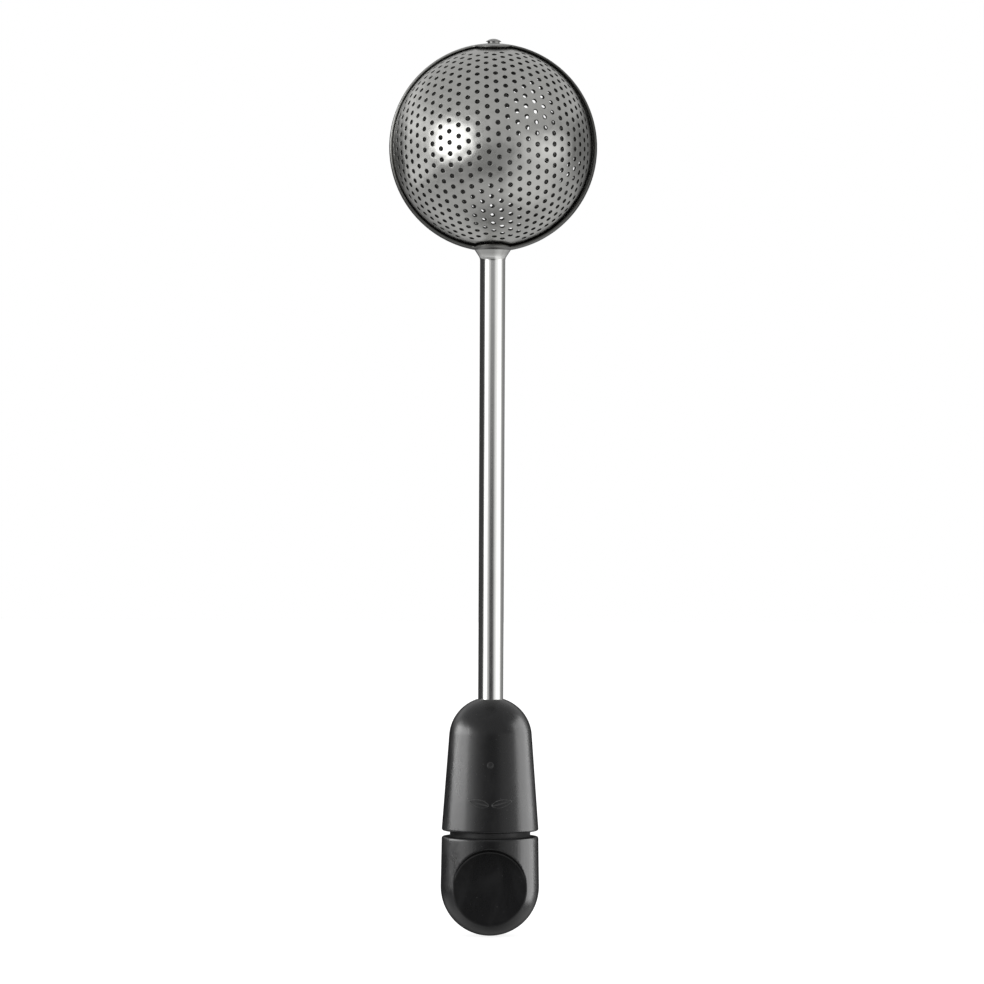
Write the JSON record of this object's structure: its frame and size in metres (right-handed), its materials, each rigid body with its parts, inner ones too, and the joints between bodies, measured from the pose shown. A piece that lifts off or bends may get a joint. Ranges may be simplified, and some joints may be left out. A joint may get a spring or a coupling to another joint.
{
  "type": "tea infuser",
  "caption": "Tea infuser with a perforated two-part metal ball on a slim tubular stem and a soft black grip whose end knob twists to open the ball.",
  "frame": {"origin": "lowest point of the knob, on the twist axis", "axes": "+Z along the stem from the knob to the ball, -Y towards the front, +X to the right when seen from the front"},
  "size_m": [0.052, 0.0511, 0.2242],
  "materials": {
    "ball_steel": "satin drawn stainless sheet with small round perforations",
    "stem_steel": "polished stainless tube with fine lengthwise grain",
    "rivet_steel": "tumbled stainless",
    "rod_steel": "plain drawn stainless",
    "soft_skin": "fine satin thermoplastic elastomer",
    "core_plastic": "moulded black polypropylene",
    "bearing_plastic": "natural acetal"
  },
  "bodies": {
    "handle_body": {"outer_shell": "ball_steel", "hub_spacer": "bearing_plastic", "tip_spacer": "bearing_plastic", "tip_rivet": "rivet_steel", "rivet_washer": "rivet_steel", "stem_tube": "stem_steel", "upper_bush": "bearing_plastic", "lower_bush": "bearing_plastic", "grip_core": "core_plastic", "grip_end_plate": "core_plastic", "grip_sleeve": "soft_skin", "thrust_washer": "bearing_plastic"},
    "twist_body": {"inner_shell": "ball_steel", "drive_rod": "rod_steel", "knob_core": "core_plastic", "knob_sleeve": "soft_skin", "knob_pin": "rod_steel", "spring_washer": "rod_steel"}
  },
  "joints": [
    {"name": "twist", "type": "hinge", "parent": "handle_body", "child": "twist_body", "pos_m": [0, 0, 0.197], "axis": [0, 0, 1], "range_deg": [0, 180]}
  ]
}
